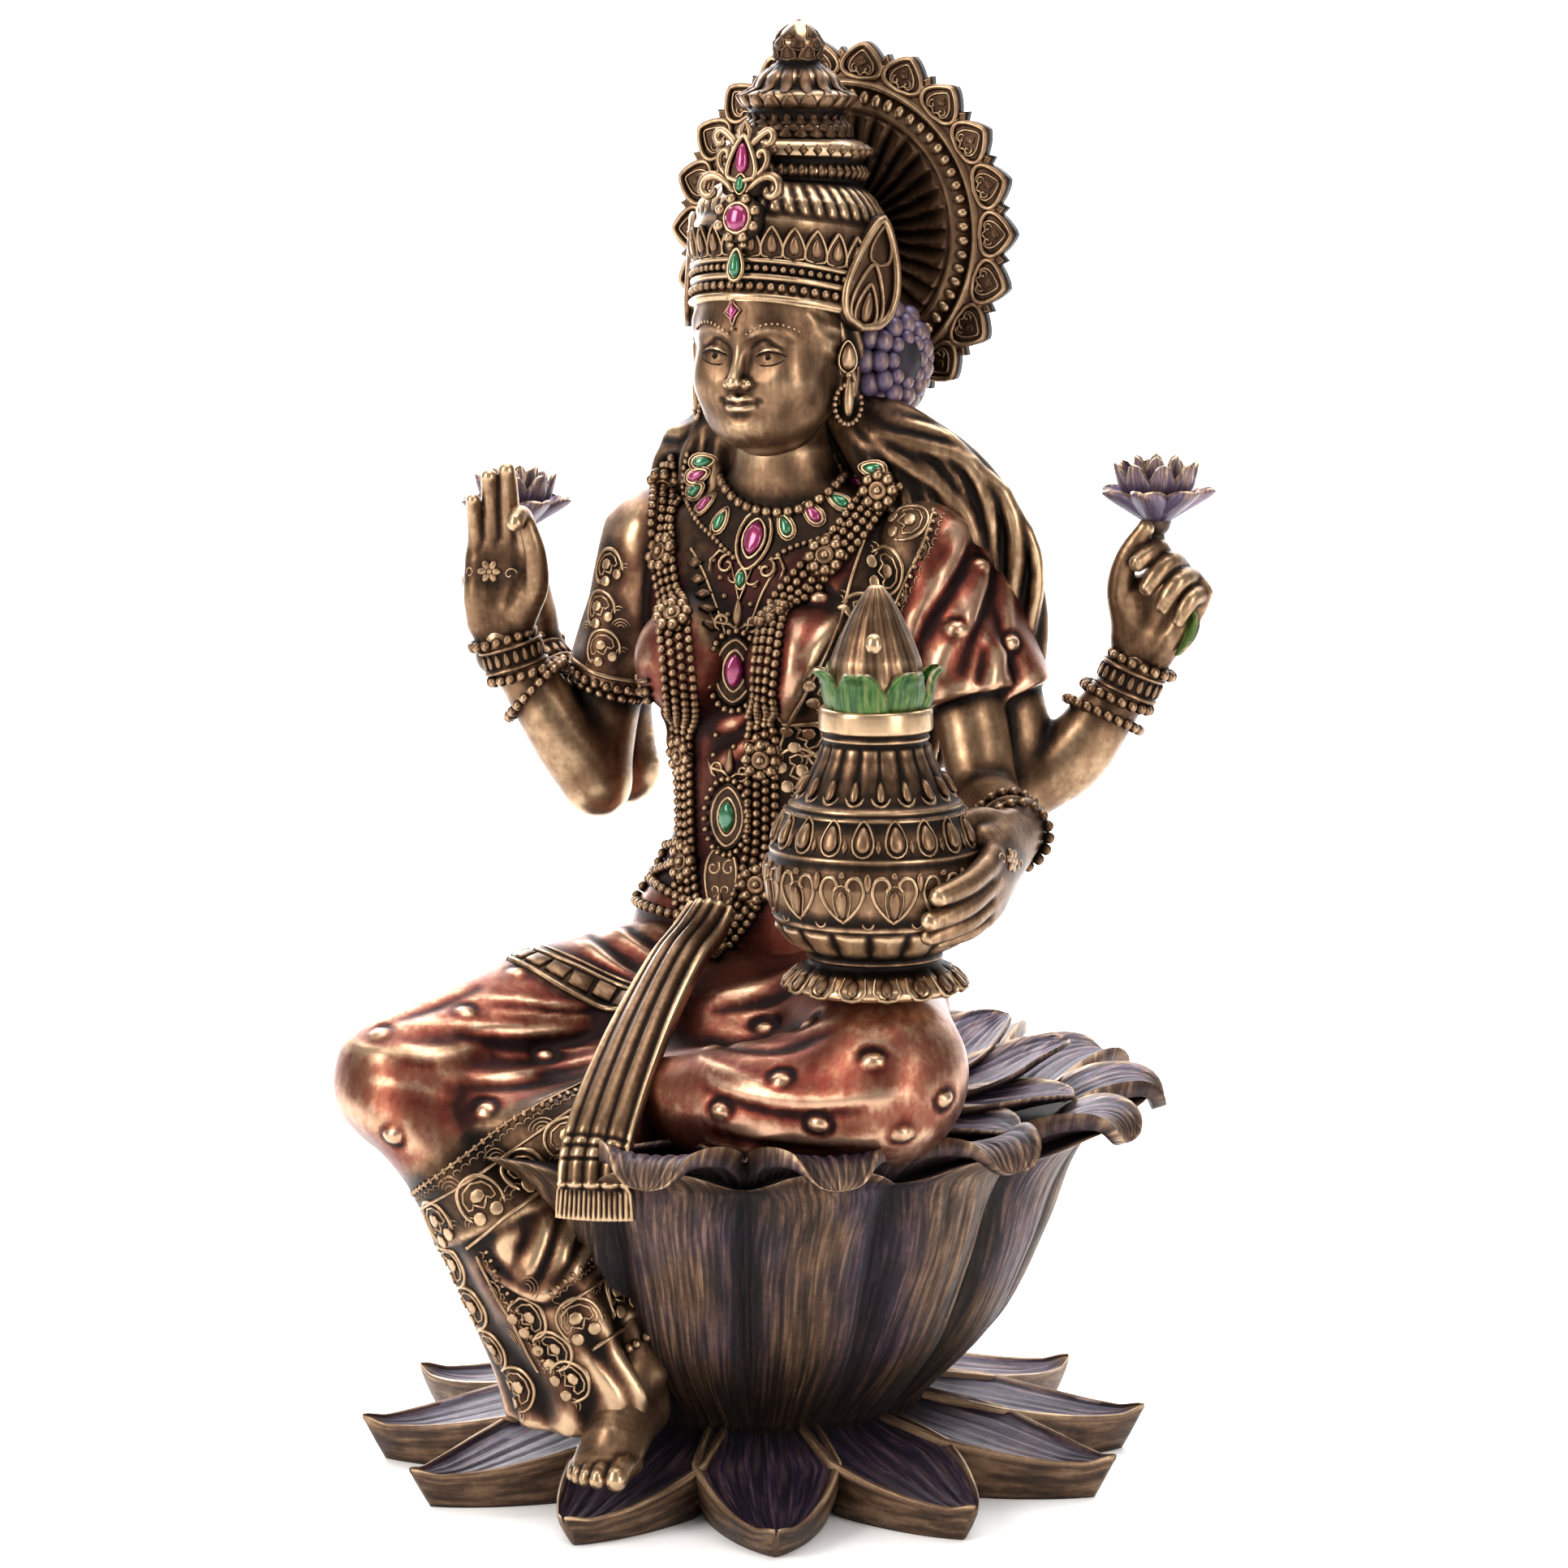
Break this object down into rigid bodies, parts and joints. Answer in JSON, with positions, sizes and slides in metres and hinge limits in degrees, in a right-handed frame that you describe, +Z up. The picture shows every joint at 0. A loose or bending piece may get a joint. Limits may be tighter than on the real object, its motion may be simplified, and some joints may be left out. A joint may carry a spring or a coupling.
{
  "type": "seated lakshmi figure on a lotus pedestal",
  "caption": "Seated four-armed goddess of fortune in antique bronze finish, with a water pot, lotus flowers and halo, on a double lotus pedestal.",
  "frame": {"origin": "centre of the pedestal's flat underside", "axes": "+Z up towards the crown, -Y the way the figure faces, +X to the figure's own left"},
  "size_m": [0.175, 0.168, 0.294],
  "materials": {
    "antique_bronze": "antique, dark in the recesses and rubbed bright on the ridges",
    "lotus_bronze": "dark bronze with a violet wash in the grooves",
    "copper_glaze": "translucent red glaze brushed over bronze",
    "violet_glaze": "satin violet wash over bronze",
    "leaf_green": "satin green wash over bronze",
    "gem_magenta": "glossy enamel",
    "gem_green": "glossy enamel"
  },
  "bodies": {
    "root": {"goddess_figure": "antique_bronze", "lotus_pedestal": "lotus_bronze"}
  },
  "joints": []
}
